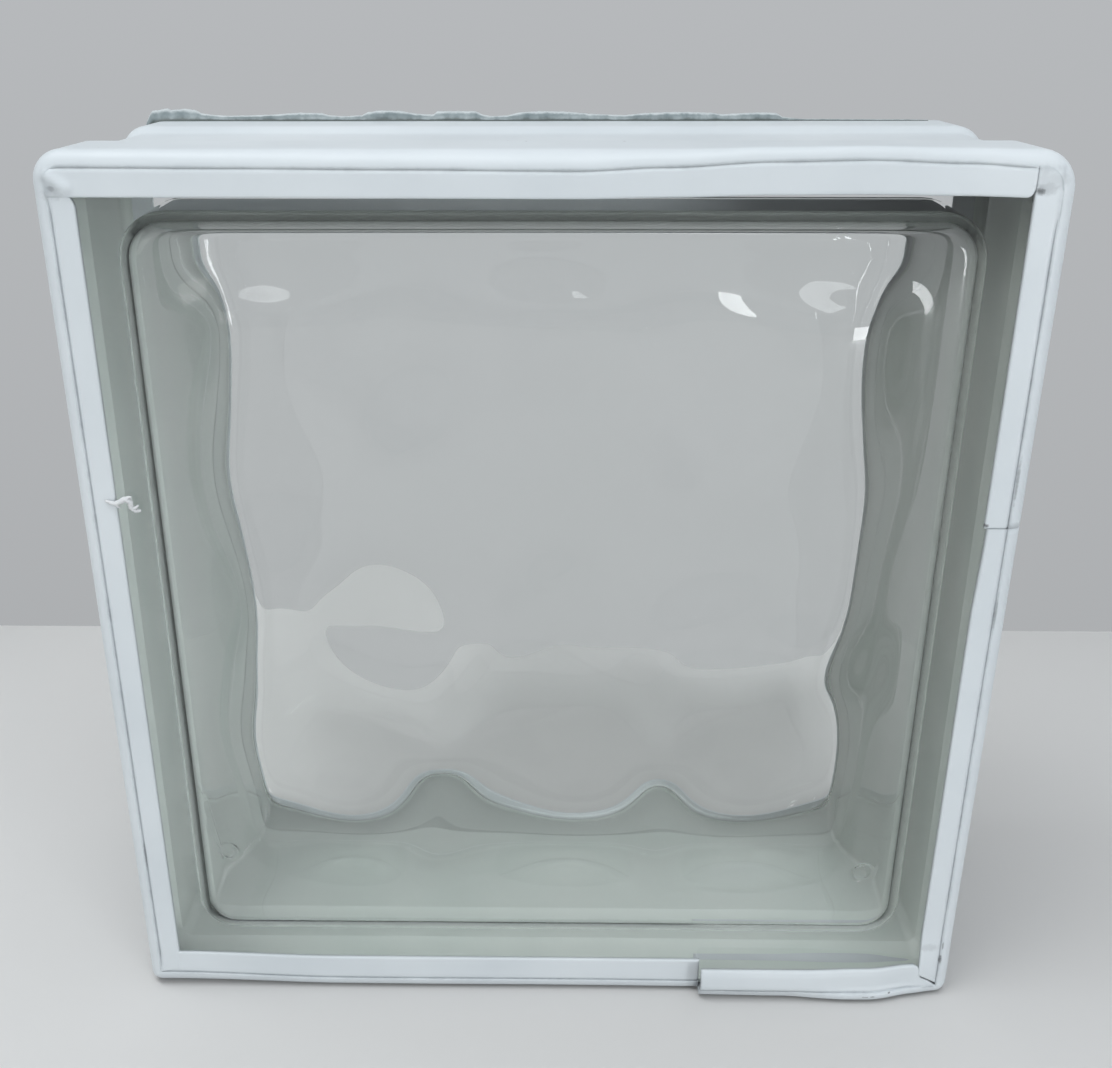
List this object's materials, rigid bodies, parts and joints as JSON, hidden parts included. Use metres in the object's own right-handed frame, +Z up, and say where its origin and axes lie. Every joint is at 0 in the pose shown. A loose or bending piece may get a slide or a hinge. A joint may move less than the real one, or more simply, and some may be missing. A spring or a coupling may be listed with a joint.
{
  "type": "hollow glass block",
  "caption": "Square hollow glass block with wavy inner faces, wrapped round its edge in a white vinyl channel strip.",
  "frame": {"origin": "middle of the footprint, on the level floor that the strip stands on", "axes": "+Z up, +Y from the front face to the rear face, +X to the right seen from the front"},
  "size_m": [0.1988, 0.0814, 0.2021],
  "materials": {
    "clear_glass": "smooth clear pressed glass with a pale green edge tint",
    "white_vinyl": "flexible white vinyl, satin, slightly soiled",
    "grey_sealant": "cured translucent grey silicone, torn edge"
  },
  "bodies": {
    "root": {"glass_block": "clear_glass", "edge_strip_long": "white_vinyl", "edge_strip_short": "white_vinyl", "sealant_residue": "grey_sealant"}
  },
  "joints": []
}
